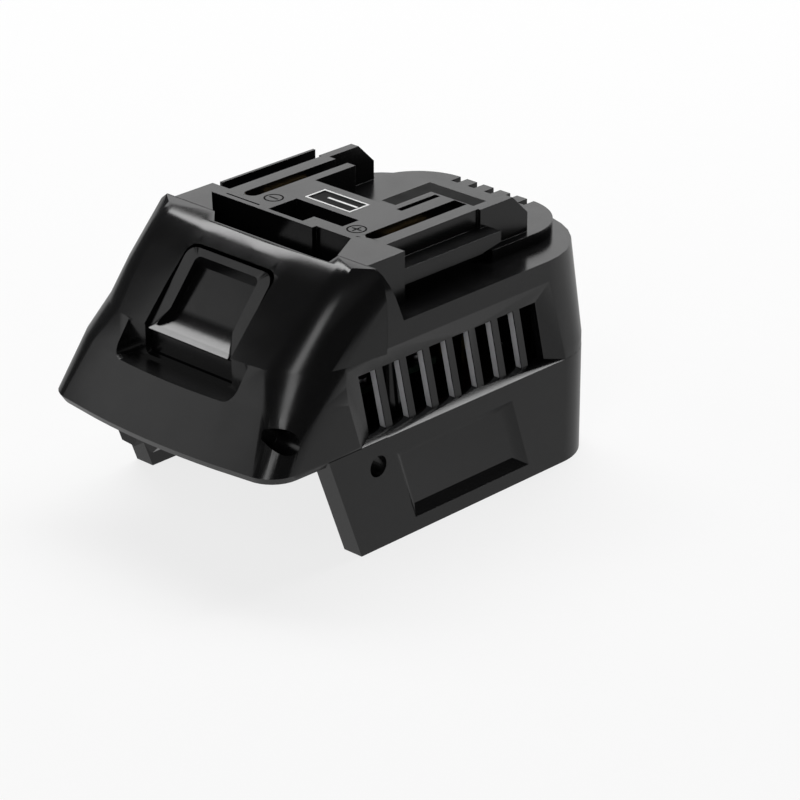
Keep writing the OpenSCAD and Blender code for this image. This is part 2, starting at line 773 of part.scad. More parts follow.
// Sprung contact with two leaves and a tail through the deck
module clip(x) {
    w = slot_w / 2 - clip_gap;
    for (s = [-1, 1])
        translate([x, 0, 0]) across(s > 0 ? w - strip_t : -w, s > 0 ? w : strip_t - w,
            [[clip_y0, slot_floor], [clip_y1, slot_floor], [clip_y1, clip_top - 1], [clip_y1 - 1, clip_top],
                [clip_y0, clip_top]]);
    block([x - w, clip_y0, slot_floor], [x + w, clip_y1, slot_floor + strip_t]);
    block([x - strip_t / 2, tail_y0, tail_low], [x + strip_t / 2, tail_y1, slot_floor + strip_t]);
}

module positive_clip() {
    color([0.72, 0.45, 0.25]) clip(slot_mid);
}

module negative_clip() {
    color([0.72, 0.45, 0.25]) clip(-slot_mid);
}

// Row of signal pins standing in the connector notch
module signal_pins() {
    color([0.78, 0.6, 0.3])
        for (i = [-1 : 1])
            translate([(notch_x0 + notch_x1) / 2 + i * pin_pitch, 0, 0])
                block([-pin_w / 2, notch_y, pin_z - pin_w], [pin_w / 2, notch_y + pin_len, pin_z]);
}

// Insulating carrier under the socket ceiling
module terminal_carrier() {
    color([0.05, 0.05, 0.05]) difference() {
        block([-carrier_half, carrier_y0, carrier_z0], [carrier_half, carrier_y1, ceiling_z]);
        for (x = blade_xs)
            blade(x, blade_z1, blade_gap);
        for (x = signal_xs)
            blade(x, signal_z1, blade_gap);
        for (s = [-1, 1])
            translate([s * carrier_screw_x, carrier_screw_y, 0]) {
                cylinder(r = screw_r + fit / 2, h = big);
                cylinder(r = screw_head_r + fit, h = carrier_z0 + screw_head_h + 1);
            }
    }
}

// Flat blade with an upright tail
module blade(x, top, gap) {
    across(x - strip_t / 2 - gap, x + strip_t / 2 + gap, [[blade_y0, blade_z0 - gap],
        [blade_tail_y1 + gap, blade_z0 - gap], [blade_tail_y1 + gap, blade_tail_top],
        [blade_tail_y0 - gap, blade_tail_top], [blade_tail_y0 - gap, top + gap], [blade_y0, top + gap]]);
}

module positive_blade() {
    color([0.78, 0.6, 0.3]) blade(blade_xs[1], blade_z1, 0);
}

module negative_blade() {
    color([0.78, 0.6, 0.3]) blade(blade_xs[0], blade_z1, 0);
}

module signal_blades() {
    color([0.78, 0.6, 0.3])
        for (x = signal_xs)
            blade(x, signal_z1, 0);
}

// Pan-head screw pointing up, head seat at the origin
module screw(r, head_r, head_h, len) {
    translate([0, 0, -head_h]) cylinder(r = head_r, h = head_h);
    cylinder(r = r, h = len);
}

module carrier_screws() {
    color([0.6, 0.6, 0.62])
        for (s = [-1, 1])
            translate([s * carrier_screw_x, carrier_screw_y, carrier_z0 + screw_head_h + 1])
                screw(screw_r - screw_slack, screw_head_r, screw_head_h,
                    ceiling_top - carrier_z0 - screw_head_h - 1);
}

// Insulated wire: down from the clip tail, round a bend, across, and down to the blade tail
module wire(side) {
    x0 = side * slot_mid;
    x1 = side * blade_xs[1];
    y0 = (tail_y0 + tail_y1) / 2;
    y1 = (blade_tail_y0 + blade_tail_y1) / 2;
    run = norm([x1 - x0, y1 - y0]);
    translate([x0, y0, 0]) rotate([0, 0, atan2(y1 - y0, x1 - x0)]) {
        translate([0, 0, wire_z + bend_r]) cylinder(r = lead_r, h = tail_low - wire_z - bend_r);
        translate([bend_r, 0, wire_z + bend_r]) rotate([90, 0, 0]) rotate([0, 0, 180]) wire_bend();
        translate([bend_r, 0, wire_z]) rotate([0, 90, 0]) cylinder(r = lead_r, h = run - 2 * bend_r);
        translate([run - bend_r, 0, wire_z - bend_r]) rotate([90, 0, 0]) wire_bend();
        translate([run, 0, blade_tail_top]) cylinder(r = lead_r, h = wire_z - bend_r - blade_tail_top);
    }
}

module wire_bend() {
    rotate_extrude(angle = 90) translate([bend_r, 0]) circle(lead_r);
}

module positive_wire() {
    color([0.6, 0.05, 0.04]) wire(1);
}

module negative_wire() {
    color([0.02, 0.02, 0.02]) wire(-1);
}

module circuit_board() {
    color([0.05, 0.25, 0.12]) difference() {
        block([-board_half, board_y0, board_z], [board_half, board_y1, board_z + board_t]);
        for (s = [-1, 1], y = board_screw_ys)
            translate([s * board_screw_x, y, board_z - 1]) cylinder(r = board_screw_r + fit, h = board_t + 2);
    }
}

// Power switch packages and a capacitor standing on the board
module board_parts() {
    z = board_z + board_t;
    color([0.04, 0.04, 0.045]) {
        for (x = chip_xs)
            block([x, chip_y, z], [x + chip_w, chip_y + chip_l, z + chip_h]);
        translate([0, can_y, z]) cylinder(r = can_r, h = can_h);
    }
}

module board_screws() {
    color([0.6, 0.6, 0.62])
        for (s = [-1, 1], y = board_screw_ys)
            translate([s * board_screw_x, y, board_z + board_t]) mirror([0, 0, 1])
                screw(board_screw_r - screw_slack, board_head_r, board_head_h, board_t + board_grip);
}

// Screws up through the deck into the terminal block
module block_screws() {
    color([0.6, 0.6, 0.62])
        for (p = block_screw_at)
            translate([p[0], p[1], deck_low])
                screw(block_screw_r - screw_slack, 2 * block_screw_r, screw_head_h, block_screw_len);
}

module case_screws() {
    color([0.6, 0.6, 0.62])
        for (s = [-1, 1], y = case_ys)
            translate([s * case_x, y, ceiling_z])
                screw(screw_r - 3 * screw_slack, screw_head_r, screw_head_h, case_screw_len);
}

// Screws up through the latch cover into the skirt bosses
module skirt_screws() {
    color([0.6, 0.6, 0.62])
        for (s = [-1, 1])
            translate([s * skirt_screw_x, skirt_screw_y, cover_z0 + cover_sink])
                screw(screw_r - 3 * screw_slack, screw_head_r, screw_head_h, skirt_screw_len - 1);
}

// Floor plate inside the skirt with sunk screw seats
module latch_cover() {
    row = skirt_rows[1];
    color([0.04, 0.04, 0.04]) difference() {
        intersection() {
            block([-half_w, y_front, cover_z0], [half_w, cover_y1, cover_z1]);
            translate([0, 0, cover_z0 - row[0] - 1]) linear_extrude(big)
                projection() front_level(row, skirt_wall + cover_gap + cover_front,
                    wall_t + cover_gap + cover_side, cover_y1 + 1);
        }
        for (s = [-1, 1])
            translate([s * skirt_screw_x, skirt_screw_y, 0]) {
                cylinder(r = screw_r + fit / 2, h = big);
                cylinder(r = screw_head_r + fit, h = cover_z0 + cover_sink);
            }
    }
}

// Two catch ribs under the front edge for the pack latch, keyed into the cover behind it
module catch_ribs() {
    color([0.04, 0.04, 0.04])
        for (r = ribs) {
            translate([0, rib_y1, 0]) rotate([90, 0, 0]) linear_extrude(rib_y1 - rib_y0) polygon(r);
            block([r[0][0], rib_step_y, skirt_z - eps], [r[3][0], rib_y1, cover_z0]);
        }
}

module guide_pins() {
    color([0.7, 0.7, 0.72])
        for (s = [-1, 1])
            translate([s * pin_x, pin_y, pin_foot]) cylinder(r = pin_r, h = pin_top - pin_foot);
}

// Push plate lying in the window with a scooped dish and lip, an apron that closes the slot, and a stem
module release_button() {
    curl = [[dish_low, -dish_low_d], [dish_bend, -dish_low_d], [lip_s, lip_d]];
    sweep = [for (i = [0 : dish_bend_n])
        let (u = i / dish_bend_n)
        curl[0] * pow(1 - u, 2) + curl[1] * 2 * u * (1 - u) + curl[2] * pow(u, 2)];
    scoop = concat([[rim_end, half_w], [rim_end, 0], [dish_top, -dish_d]], sweep,
        [[lip_s - 1, lip_d], [lip_s - 1, half_w]]);
    lip = [[lip_s, -button_t], [lip_s, lip_d], [lip_back, 0], [lip_back, -button_t]];
    color([0.04, 0.04, 0.04]) union() {
        difference() {
            translate([0, rim_y, rim_z]) rotate([rim_tilt, 0, 0]) {
                difference() {
                    translate([0, 0, -button_t]) linear_extrude(button_t)
                        window_shape(button_half, 0, rim_len, window_r);
                    intersection() {
                        across(-half_w, half_w, scoop);
                        translate([0, 0, -half_w]) linear_extrude(body_w) {
                            window_shape(dish_half, flare_s - 1, rim_end, dish_r);
                            polygon([[-dish_half, flare_s], [-flare_half, lip_s - 1], [flare_half, lip_s - 1],
                                [dish_half, flare_s]]);
                        }
                    }
                }
                across(-flare_half, flare_half, lip);
            }
            block([-half_w, y_front, 0], [half_w, apron_y0 - fit, rim_z - lip_under]);
        }
        block([-apron_half, apron_y0, apron_z0], [apron_half, apron_y0 + apron_t, apron_z1]);
        block([-stem_half, stem_y0, stem_z0], [stem_half, slide_y0, slide_z1]);
    }
}

// Cross piece riding on the two guide pins
module latch_slider() {
    color([0.06, 0.06, 0.065]) difference() {
        block([-slide_half, slide_y0, slide_z0], [slide_half, slide_y1, slide_z1]);
        for (s = [-1, 1])
            translate([s * pin_x, pin_y, 0]) cylinder(r = pin_r + pin_gap, h = big);
    }
}

// Upright catch behind the hood with a ramped nose
module latch_hook() {
    shape = [[foot_y0, slide_z1], [hook_y1, slide_z1], [hook_y1, hook_low], [hook_y0, hook_top],
        [hook_y0, foot_z1], [foot_y0, foot_z1]];
    color([0.06, 0.06, 0.065]) across(-hook_half, hook_half, shape);
}

// Compression spring wound as one tube round a guide pin
module coil(x) {
    z0 = post_top + wire_r;
    z1 = slide_z0 - wire_r;
    ring = 6;
    steps = 8 * coil_n;
    path = [for (i = [0 : steps]) [coil_r * cos(45 * i), coil_r * sin(45 * i), z0 + (z1 - z0) * i / steps]];
    points = [for (i = [0 : steps], k = [0 : ring - 1])
        let (a = 45 * i, b = 360 * k / ring)
        [(coil_r + wire_r * cos(b)) * cos(a), (coil_r + wire_r * cos(b)) * sin(a), path[i][2] + wire_r * sin(b)]];
    sides = [for (i = [0 : steps - 1], k = [0 : ring - 1])
        [i * ring + k, i * ring + (k + 1) % ring, (i + 1) * ring + (k + 1) % ring, (i + 1) * ring + k]];
    ends = [[for (k = [0 : ring - 1]) ring - 1 - k], [for (k = [0 : ring - 1]) steps * ring + k]];
    turn_gaps = [for (i = [0 : steps - 8]) norm(path[i + 8] - path[i]) - 2 * wire_r];
    echo(least_turn_gap = min(turn_gaps));
    translate([x, pin_y, 0]) polyhedron(points, concat(sides, ends));
}

module spring_left() {
    color([0.7, 0.7, 0.72]) coil(-pin_x);
}

module spring_right() {
    color([0.7, 0.7, 0.72]) coil(pin_x);
}

lower_housing();
upper_housing();
front_skirt();
side_wings();
front_hood();
terminal_block();
guide_rails();
label_plate();
window_plate();
positive_clip();
negative_clip();
signal_pins();
terminal_carrier();
positive_blade();
negative_blade();
signal_blades();
carrier_screws();
positive_wire();
negative_wire();
circuit_board();
board_parts();
board_screws();
block_screws();
case_screws();
skirt_screws();
latch_cover();
catch_ribs();
guide_pins();
release_button();
latch_slider();
latch_hook();
spring_left();
spring_right();
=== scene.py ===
"""Looks of a slide-on battery adapter, built as a small Blender add-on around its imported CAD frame."""

import math

import bmesh
import bpy
from mathutils import Matrix, Vector


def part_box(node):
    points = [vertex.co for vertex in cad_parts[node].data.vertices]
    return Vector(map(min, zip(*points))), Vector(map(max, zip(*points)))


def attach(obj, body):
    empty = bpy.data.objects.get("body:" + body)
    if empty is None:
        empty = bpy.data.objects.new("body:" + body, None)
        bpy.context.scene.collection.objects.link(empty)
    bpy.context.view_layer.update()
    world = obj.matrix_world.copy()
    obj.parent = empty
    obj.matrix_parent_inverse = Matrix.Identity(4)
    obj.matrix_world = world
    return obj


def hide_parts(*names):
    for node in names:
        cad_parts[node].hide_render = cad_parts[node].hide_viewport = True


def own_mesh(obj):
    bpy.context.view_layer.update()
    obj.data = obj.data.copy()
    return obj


bl_info = {
    "name": "Battery Adapter Looks",
    "version": (1, 0, 0),
    "blender": (4, 5, 0),
    "location": "View3D > Sidebar > Adapter",
    "description": "Shells, contacts, marks, springs and stage of a slide-on battery adapter",
    "category": "Object",
}

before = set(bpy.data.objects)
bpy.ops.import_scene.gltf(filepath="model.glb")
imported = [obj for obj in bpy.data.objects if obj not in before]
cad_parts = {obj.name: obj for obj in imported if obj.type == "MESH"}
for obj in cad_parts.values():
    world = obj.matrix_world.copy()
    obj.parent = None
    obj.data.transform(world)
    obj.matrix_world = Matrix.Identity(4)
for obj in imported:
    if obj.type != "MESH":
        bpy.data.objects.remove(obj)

HOUSING = "housing"
LATCH = "latch"

# Mesh work, in metres and radians
WELD = 1e-6  # corners closer than this are one
FLAT_ANGLE = math.radians(1.0)  # faces that meet flatter than this become one
BEVEL_ANGLE = math.radians(38)  # edges sharper than this are rounded
CRISP_ANGLE = math.radians(40)  # edges sharper than this shade crisp

# Materials
FINE_GRAIN = 0.00001  # depth of moulded or drawn grain, in metres
SOFT_GRAIN = 0.00002  # depth of the grain on wires and the board
PAPER_GRAIN = 0.00005  # depth of the grain of the floor
CLOUD_SCALE = 60  # noise scale of the tint
GLOSS_SCALE = 140  # noise scale of the uneven gloss
GLOSS_SPREAD = 0.1  # part by which the roughness goes up and down
GRAIN_STRENGTH = 0.25
NOISE_RANGE = (0.3, 0.7)  # where most of a noise value lies

# Marks on the block top, in metres: name, middle, and whether it is a plus
POLARITY_MARKS = (
    ("minus_mark", (-0.0137, -0.0032), False),
    ("plus_mark", (0.014, -0.0041), True),
)
SIGN_REACH = 0.58  # half length of a sign's bar, as a part of the ring's radius
MARK_ROOT = 0.0001  # how deep a mark goes into the block
BAR_ROOT = 0.00005  # how deep the window's bar goes into its plate
BAR_SHIFT = (0.0014, 0.0004)  # the window's bar from the middle of its plate

# Stage: name, place, target, width, height and power of each soft box, in metres and watts
SOFT_BOXES = (
    ("overhead_softbox", (-0.42, 0.57, 1.14), (0, 0, 0.04), 1.9, 0.5, 20),
    ("back_softbox", (-0.95, 1.0, 0.6), (0, 0, 0.05), 1.4, 0.5, 2.6),
    ("left_softbox", (-0.88, -0.92, 0.6), (0, 0, 0.04), 0.9, 0.7, 1.7),
    ("corner_strip", (0.46, -0.92, 0.76), (0, 0, 0.04), 0.26, 0.8, 2.2),
)
WORLD_GREY = (0.06, 0.06, 0.06, 1)
FLOOR_HALF = 6  # half width of the floor, in metres
FLOOR_WHITE = 0.8  # how much of the floor the camera sees as plain white

# Camera at the photo's angle
CAMERA_PLACE = (0.5182, -0.5197, 0.3504)
CAMERA_LOOK = (-0.6291, 0.6588, -0.4126)
CAMERA_LENS = 153.8  # millimetres
CAMERA_SENSOR = 36  # millimetres
CAMERA_SHIFT = (0.0069, 0.0011)
CAMERA_NEAR = 0.01


def length(name, description, default):
    """A size in metres."""
    return bpy.props.FloatProperty(
        name=name, description=description, default=default, unit="LENGTH", precision=5
    )


def colour(name, description, default):
    """A linear colour."""
    return bpy.props.FloatVectorProperty(
        name=name, description=description, default=default, size=3, min=0, max=1, subtype="COLOR"
    )


class AdapterSizes(bpy.types.PropertyGroup):
    """Sizes of the visible details."""

    shell_bevel: length("Shell edge", "Rounding of the moulded shell edges", 0.0004)
    block_bevel: length("Block edge", "Rounding of the terminal block edges", 0.00022)
    latch_bevel: length("Latch edge", "Rounding of the release button edges", 0.00035)
    metal_bevel: length("Metal edge", "Rounding of screws, pins and contacts", 0.0001)
    top_z: length("Block top", "Height of the terminal block", 0.0665)
    mark_radius: length("Mark radius", "Outer radius of a polarity ring", 0.0024)
    mark_line: length("Mark line", "Line width of the polarity marks", 0.00042)
    mark_lift: length("Mark lift", "Height of the marks over the block", 0.00003)
    outline_width: length("Outline width", "Width of the pale window outline", 0.0005)
    bar_length: length("Bar length", "Length of the pale bar in the window", 0.0094)
    bar_width: length("Bar width", "Width of the pale bar in the window", 0.0007)
    coil_radius: length("Coil radius", "Mean radius of a latch spring", 0.0027)
    wire_radius: length("Wire radius", "Radius of the spring wire", 0.0004)
    spring_low: length("Spring foot", "Lower end of the latch springs", 0.03)
    spring_high: length("Spring head", "Upper end of the latch springs", 0.04)
    spring_x: length("Spring offset", "Offset of a spring from the middle", 0.011)
    spring_y: length("Spring place", "Place of the springs along the body", -0.0255)
    travel: length("Travel", "Travel of the release button", 0.005)
    fin_first: length("First fin", "Front flank of the first vent fin at its foot", -0.016825)
    fin_pitch: length("Fin pitch", "Distance between vent fins", 0.007625)
    fin_lean: length("Fin lean", "Forward lean of a fin over its height", 0.0035)
    fin_low: length("Fin foot", "Lower end of the vent fins", 0.028)
    fin_high: length("Fin head", "Upper end of the vent fins", 0.0435)
    fin_inner: length("Fin inside", "Inner edge of a fin flank from the middle", 0.0336)
    fin_outer: length("Fin outside", "Outer edge of a fin flank from the middle", 0.0352)
    # Thickness of the pale faces that carry the painted highlight on the fin flanks
    painted_highlight_skin: length("Flank skin", "Thickness of the light flank faces", 0.00004)
    fin_count: bpy.props.IntProperty(name="Fins", description="Fins in one vent field", default=7)
    floor_mirrored: bpy.props.FloatProperty(
        name="Mirrored floor", description="Brightness of the floor in glossy reflections", default=0.5
    )


class AdapterColours(bpy.types.PropertyGroup):
    """Colours of the materials."""

    shell: colour("Shell", "Moulded housing plastic", (0.0045, 0.0045, 0.0048))
    block: colour("Block", "Terminal block plastic", (0.004, 0.004, 0.0043))
    plate: colour("Plate", "Flat printed plates", (0.004, 0.004, 0.004))
    button: colour("Button", "Release button plastic", (0.0045, 0.0045, 0.0048))
    mark: colour("Mark", "Engraved polarity marks", (0.003, 0.003, 0.003))
    pale: colour("Pale", "Pale window outline", (0.82, 0.82, 0.82))
    brass: colour("Brass", "Contacts and blades", (0.78, 0.56, 0.26))
    steel: colour("Steel", "Screws, pins and springs", (0.3, 0.3, 0.31))
    red: colour("Red wire", "Positive wire", (0.16, 0.008, 0.006))
    black: colour("Black wire", "Negative wire", (0.012, 0.012, 0.012))
    board: colour("Board", "Circuit board", (0.006, 0.03, 0.014))
    # Pale grey of the fin flanks is a painted highlight, not the colour of the black plastic
    painted_flank_highlight: colour("Flanks", "Light flanks of the vent fins", (0.62, 0.62, 0.64))
    chip: colour("Chips", "Parts on the board", (0.02, 0.02, 0.022))
    floor: colour("Floor", "Studio floor", (0.86, 0.86, 0.86))


def sizes():
    return bpy.context.scene.adapter_sizes


def colours():
    return bpy.context.scene.adapter_colours


def join(tree, out, into):
    tree.links.new(out, into)


def add_node(tree, kind, **inputs):
    """A shader node with its inputs set by name."""
    made = tree.nodes.new(kind)
    for key, value in inputs.items():
        made.inputs[key.replace("_", " ")].default_value = value
    return made


def noise(tree, coords, scale, detail):
    made = add_node(tree, "ShaderNodeTexNoise", Scale=scale, Detail=detail)
    join(tree, coords, made.inputs["Vector"])
    return made.outputs["Fac"]


def spread(tree, value, low, high):
    """Maps a noise value to a range."""
    made = add_node(tree, "ShaderNodeMapRange")
    made.inputs["From Min"].default_value = NOISE_RANGE[0]
    made.inputs["From Max"].default_value = NOISE_RANGE[1]
    made.inputs["To Min"].default_value = low
    made.inputs["To Max"].default_value = high
    join(tree, value, made.inputs["Value"])
    return made.outputs["Result"]


def surface(name, tint, rough, grain, height=FINE_GRAIN, metallic=0.0, vary=0.15, shine=0.5):
    """A material with a cloudy tint, uneven gloss and a fine moulded or drawn grain."""
    made = bpy.data.materials.new(name + "_look")
    made.use_nodes = True
    tree = made.node_tree
    shader = tree.nodes["Principled BSDF"]
    coords = tree.nodes.new("ShaderNodeTexCoord").outputs["Object"]
    mix = tree.nodes.new("ShaderNodeMix")
    mix.data_type = "RGBA"
    mix.inputs["A"].default_value = [c * (1 - vary) for c in tint] + [1]
    mix.inputs["B"].default_value = [min(1, c * (1 + vary)) for c in tint] + [1]
    join(tree, noise(tree, coords, CLOUD_SCALE, 3), mix.inputs["Factor"])
    join(tree, mix.outputs["Result"], shader.inputs["Base Color"])
    cloudy = noise(tree, coords, GLOSS_SCALE, 4)
    gloss = spread(tree, cloudy, rough * (1 - GLOSS_SPREAD), rough * (1 + GLOSS_SPREAD))
    join(tree, gloss, shader.inputs["Roughness"])
    bump = add_node(tree, "ShaderNodeBump", Strength=GRAIN_STRENGTH, Distance=height)
    join(tree, noise(tree, coords, grain, 2), bump.inputs["Height"])
    join(tree, bump.outputs["Normal"], shader.inputs["Normal"])
    shader.inputs["Metallic"].default_value = metallic
    shader.inputs["Specular IOR Level"].default_value = shine
    return made


def placed(name, data):
    """A new object in the scene."""
    made = bpy.data.objects.new(name, data)
    bpy.context.scene.collection.objects.link(made)
    return made


def as_mesh(name, work):
    """A new mesh from a finished surface, which is freed."""
    mesh = bpy.data.meshes.new(name)
    work.to_mesh(mesh)
    work.free()
    return mesh


def new_piece(name, mesh, body, material):
    """Places a piece, gives it its material and lets it ride on a body."""
    made = placed(name, mesh)
    made.data.materials.clear()
    made.data.materials.append(material)
    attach(made, body)
    return made


def welded(node):
    """A CAD node's surface with its corners welded."""
    work = bmesh.new()
    work.from_mesh(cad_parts[node].data)
    bmesh.ops.remove_doubles(work, verts=work.verts, dist=WELD)
    return work


def united(nodes):
    """One surface from CAD nodes that meet, with the walls between them gone."""
    made = [placed(node + "_copy", as_mesh(node + "_copy", welded(node))) for node in nodes]
    for other in made[1:]:
        union = made[0].modifiers.new("union", "BOOLEAN")
        union.operation = "UNION"
        union.solver = "EXACT"
        union.object = other
    shape = made[0].evaluated_get(bpy.context.evaluated_depsgraph_get()).to_mesh()
    work = bmesh.new()
    work.from_mesh(shape)
    for one in made:
        bpy.data.meshes.remove(one.data)
    bmesh.ops.remove_doubles(work, verts=work.verts, dist=WELD)
    return work


def evened(mesh):
    """The mesh with normals weighted by face area, so flat faces shade flat beside their rounded edges."""
    holder = placed(mesh.name + "_raw", mesh)
    weighted = holder.modifiers.new("weighted", "WEIGHTED_NORMAL")
    weighted.keep_sharp = True
    shaded = holder.evaluated_get(bpy.context.evaluated_depsgraph_get())
    made = bpy.data.meshes.new_from_object(shaded)
    bpy.data.meshes.remove(mesh)
    return made


def bevelled(nodes, body, material, width):
    """A copy of one or more CAD nodes with rounded edges, standing for them."""
    names = (nodes,) if isinstance(nodes, str) else nodes
    work = welded(names[0]) if len(names) == 1 else united(names)
    bmesh.ops.dissolve_limit(work, angle_limit=FLAT_ANGLE, verts=work.verts, edges=work.edges)
    sharp = [e for e in work.edges if len(e.link_faces) == 2 and e.calc_face_angle(0) > BEVEL_ANGLE]
    bmesh.ops.bevel(
        work, geom=sharp, offset=width, offset_type="OFFSET", segments=2, profile=0.5,
        affect="EDGES", clamp_overlap=True, loop_slide=True,
    )
    bmesh.ops.triangulate(work, faces=[f for f in work.faces if len(f.verts) > 4])
    mesh = as_mesh(names[0] + "_look", work)
    mesh.shade_smooth()
    mesh.set_sharp_from_angle(angle=CRISP_ANGLE)
    made = new_piece(names[0] + "_look", evened(mesh), body, material)
    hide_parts(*names)
    return made


def flat(name, outline, holes, low, high):
    """A flat plate from an outline with holes, between two heights."""
    work = bmesh.new()
    for loop in [outline] + holes:
        ring = [work.verts.new((x, y, low)) for x, y in loop]
        for a, b in zip(ring, ring[1:] + ring[:1]):
            work.edges.new((a, b))
    bmesh.ops.triangle_fill(work, use_beauty=True, use_dissolve=False, edges=work.edges)
    lifted = bmesh.ops.extrude_face_region(work, geom=work.faces[:])
    upper = [v for v in lifted["geom"] if isinstance(v, bmesh.types.BMVert)]
    bmesh.ops.translate(work, vec=(0, 0, high - low), verts=upper)
    bmesh.ops.recalc_face_normals(work, faces=work.faces)
    return as_mesh(name, work)


def circle(x, y, radius, count=48):
    turns = [2 * math.pi * i / count for i in range(count)]
    return [(x + radius * math.cos(a), y + radius * math.sin(a)) for a in turns]


def rectangle(x0, y0, x1, y1):
    return [(x0, y0), (x1, y0), (x1, y1), (x0, y1)]


class ADAPTER_OT_shells(bpy.types.Operator):
    """Rounds the edges of the housings and the hood, gives them black moulded plastic and lays a painted
    highlight on the front flanks of the vent fins
    """

    bl_idname = "adapter.shells"
    bl_label = "Shells"

    def execute(self, context):
        plastic = surface("shell_black", colours().shell, rough=0.2, grain=2600)
        for nodes in ("lower_housing", ("upper_housing", "front_skirt", "side_wings"), "front_hood"):
            bevelled(nodes, HOUSING, plastic, sizes().shell_bevel)
        # Painted highlight: pale grey faces on the fin flanks stand for light caught by the black fins
        painted_highlight = surface("fin_painted_highlight", colours().painted_flank_highlight, rough=0.45, grain=2600)
        new_piece("vent_painted_highlights", self.painted_highlight_flanks(), HOUSING, painted_highlight)
        return {"FINISHED"}

    def painted_highlight_flanks(self):
        """Thin pale faces on the front flanks of the vent fins: a painted highlight standing for the light
        the black fins catch.
        """
        size = sizes()
        work = bmesh.new()
        for side in (-1, 1):
            for i in range(size.fin_count):
                low = size.fin_first + i * size.fin_pitch
                high = low - size.fin_lean
                ring = []
                for y, z in ((low, size.fin_low), (high, size.fin_high)):
                    for x in (size.fin_inner, size.fin_outer):
                        for skin in (size.painted_highlight_skin, 0):
                            ring.append(work.verts.new((side * x, y - skin, z)))
                bmesh.ops.convex_hull(work, input=ring)
        bmesh.ops.recalc_face_normals(work, faces=work.faces)
        return as_mesh("vent_painted_highlights", work)


class ADAPTER_OT_block(bpy.types.Operator):
    """Rounds the edges of the terminal block, its plates and the terminal carrier"""

    bl_idname = "adapter.block"
    bl_label = "Terminal block"

    def execute(self, context):
        plastic = surface("block_black", colours().block, rough=0.22, grain=3000)
        plate = surface("plate_black", colours().plate, rough=0.6, grain=3500, shine=0.08)
        for nodes in (("terminal_block", "guide_rails"), "terminal_carrier"):
            bevelled(nodes, HOUSING, plastic, sizes().block_bevel)
        for node in ("label_plate", "window_plate"):
            bevelled(node, HOUSING, plate, sizes().metal_bevel)
        return {"FINISHED"}


class ADAPTER_OT_latch(bpy.types.Operator):
    """Rounds the release button, its slider and hook, the cover under the skirt and the catch ribs"""

    bl_idname = "adapter.latch"
    bl_label = "Latch"

    def execute(self, context):
        plastic = surface("latch_black", colours().button, rough=0.2, grain=2600)
        for node in ("release_button", "latch_slider", "latch_hook"):
            bevelled(node, LATCH, plastic, sizes().latch_bevel)
        for node in ("latch_cover", "catch_ribs"):
            bevelled(node, HOUSING, plastic, sizes().latch_bevel)
        return {"FINISHED"}


class ADAPTER_OT_metal(bpy.types.Operator):
    """Gives contacts, screws and pins their metal and rounded edges"""

    bl_idname = "adapter.metal"
    bl_label = "Metal parts"

    def execute(self, context):
        tint = colours()
        brass = surface("contact_brass", tint.brass, rough=0.3, grain=1800, metallic=1.0, vary=0.08)
        steel = surface("screw_steel", tint.steel, rough=0.34, grain=2200, metallic=1.0, vary=0.08)
        contacts = (
            "positive_clip", "negative_clip", "signal_pins",
            "positive_blade", "negative_blade", "signal_blades",
        )
        screws = (
            "carrier_screws", "board_screws", "block_screws",
            "case_screws", "skirt_screws", "guide_pins",
        )
        for node in contacts:
            bevelled(node, HOUSING, brass, sizes().metal_bevel)
        for node in screws:
            bevelled(node, HOUSING, steel, sizes().metal_bevel)
        return {"FINISHED"}


class ADAPTER_OT_electronics(bpy.types.Operator):
    """Gives the board, its parts and the wires their finish"""

    bl_idname = "adapter.electronics"
    bl_label = "Electronics"

    def execute(self, context):
        tint = colours()
        finishes = (
            ("positive_wire", "wire_red", tint.red, 0.5, 1500, 0.15),
            ("negative_wire", "wire_black", tint.black, 0.5, 1500, 0.15),
            ("circuit_board", "board_green", tint.board, 0.4, 900, 0.3),
            ("board_parts", "board_dark", tint.chip, 0.45, 2000, 0.15),
        )
        for node, slot, shade, rough, grain, vary in finishes:
            material = surface(slot, shade, rough, grain, SOFT_GRAIN, vary=vary)
            bevelled(node, HOUSING, material, sizes().metal_bevel)
        return {"FINISHED"}


class ADAPTER_OT_springs(bpy.types.Operator):
    """Winds the two latch springs"""

    bl_idname = "adapter.springs"
    bl_label = "Springs"

    def execute(self, context):
        size = sizes()
        steel = bpy.data.materials["screw_steel_look"]
        low = size.spring_low + size.wire_radius
        high = size.spring_high - size.wire_radius
        for side, node in ((-1, "spring_left"), (1, "spring_right")):
            mesh = self.coil(node + "_look", side * size.spring_x, size.spring_y, low, high)
            made = new_piece(node + "_look", mesh, HOUSING, steel)
            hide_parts(node)
            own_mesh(made)
        return {"FINISHED"}

    def coil(self, name, x, y, low, high, turns=5, steps=24, sides=10):
        """A tube wound round a guide pin."""
        size = sizes()
        work = bmesh.new()
        rings = []
        for i in range(turns * steps + 1):
            a = 2 * math.pi * i / steps
            z = low + (high - low) * i / (turns * steps)
            rings.append([])
            for k in range(sides):
                b = 2 * math.pi * k / sides
                r = size.coil_radius + size.wire_radius * math.cos(b)
                point = (x + r * math.cos(a), y + r * math.sin(a), z + size.wire_radius * math.sin(b))
                rings[-1].append(work.verts.new(point))
        for one, two in zip(rings, rings[1:]):
            for k in range(sides):
                work.faces.new((one[k], one[k - 1], two[k - 1], two[k]))
        work.faces.new(rings[0])
        work.faces.new(rings[-1][::-1])
        bmesh.ops.recalc_face_normals(work, faces=work.faces)
        mesh = as_mesh(name, work)
        mesh.shade_smooth()
        return mesh


